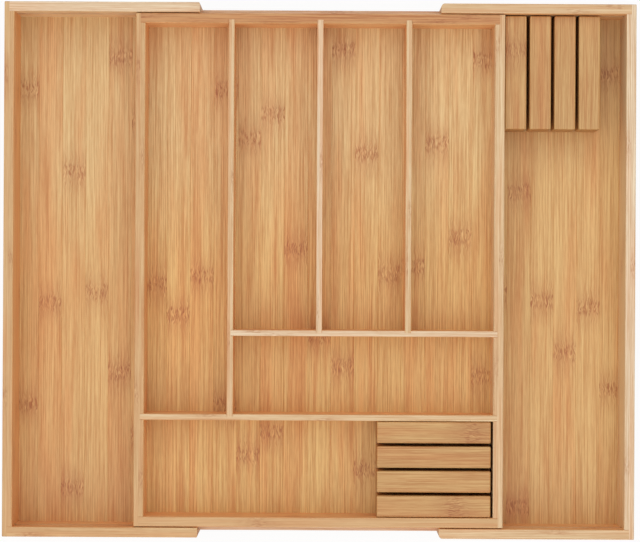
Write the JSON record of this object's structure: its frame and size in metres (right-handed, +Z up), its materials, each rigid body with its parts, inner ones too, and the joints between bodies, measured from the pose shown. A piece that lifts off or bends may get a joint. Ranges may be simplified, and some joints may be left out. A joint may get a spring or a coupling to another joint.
{
  "type": "drawer organizer insert",
  "caption": "Expanding bamboo drawer organiser: a divided cutlery tray with sliding side wings and loose slotted knife blocks.",
  "frame": {"origin": "on the drawer bottom, at the centre of the open organiser's bounding box", "axes": "+X to the right across the width in which the wings slide, +Y to the back of the drawer, +Z up out of the drawer"},
  "size_m": [0.51, 0.432, 0.06],
  "materials": {
    "frame_bamboo": "satin-lacquered laminated bamboo, grain along each wall",
    "divider_bamboo": "satin-lacquered pale bamboo strip",
    "floor_bamboo": "satin-lacquered bamboo panel of edge-glued strips with staggered nodes, grain front to back",
    "runner_bamboo": "darker carbonised bamboo strip, waxed",
    "block_bamboo": "satin-lacquered bamboo slats with eased edges",
    "screw_steel": "zinc-plated steel"
  },
  "bodies": {
    "tray": {"tray_floor": "floor_bamboo", "tray_left_wall": "frame_bamboo", "tray_right_wall": "frame_bamboo", "tray_front_wall": "frame_bamboo", "tray_back_wall": "frame_bamboo", "left_divider": "divider_bamboo", "middle_divider": "divider_bamboo", "right_divider": "divider_bamboo", "short_cross_divider": "divider_bamboo", "long_cross_divider": "divider_bamboo", "front_guide_rail": "runner_bamboo", "back_guide_rail": "runner_bamboo"},
    "left_wing": {"left_wing_floor": "floor_bamboo", "left_wing_outer_wall": "frame_bamboo", "left_wing_front_wall": "frame_bamboo", "left_wing_back_wall": "frame_bamboo", "left_wing_stop_cleat": "runner_bamboo", "left_wing_stop_screws": "screw_steel"},
    "right_wing": {"right_wing_floor": "floor_bamboo", "right_wing_outer_wall": "frame_bamboo", "right_wing_front_wall": "frame_bamboo", "right_wing_back_wall": "frame_bamboo", "right_wing_stop_cleat": "runner_bamboo", "right_wing_stop_screws": "screw_steel"},
    "tray_block": {"tray_block_base": "block_bamboo", "tray_block_slat_1": "block_bamboo", "tray_block_slat_2": "block_bamboo", "tray_block_slat_3": "block_bamboo", "tray_block_slat_4": "block_bamboo"},
    "wing_block": {"wing_block_base": "block_bamboo", "wing_block_slat_1": "block_bamboo", "wing_block_slat_2": "block_bamboo", "wing_block_slat_3": "block_bamboo", "wing_block_slat_4": "block_bamboo"}
  },
  "joints": [
    {"name": "left_wing_slide", "type": "slide", "parent": "tray", "child": "left_wing", "axis": [1, 0, 0], "range_m": [0, 0.097]},
    {"name": "right_wing_slide", "type": "slide", "parent": "tray", "child": "right_wing", "axis": [-1, 0, 0], "range_m": [0, 0.097]},
    {"name": "tray_block_lift", "type": "slide", "parent": "tray", "child": "tray_block", "axis": [0, 0, 1], "range_m": [0, 0.1]},
    {"name": "wing_block_lift", "type": "slide", "parent": "tray", "child": "wing_block", "axis": [0, 0, 1], "range_m": [0, 0.291]}
  ],
  "couplings": [
    {"joint": "wing_block_lift", "follows": "right_wing_slide", "ratio": 3}
  ]
}
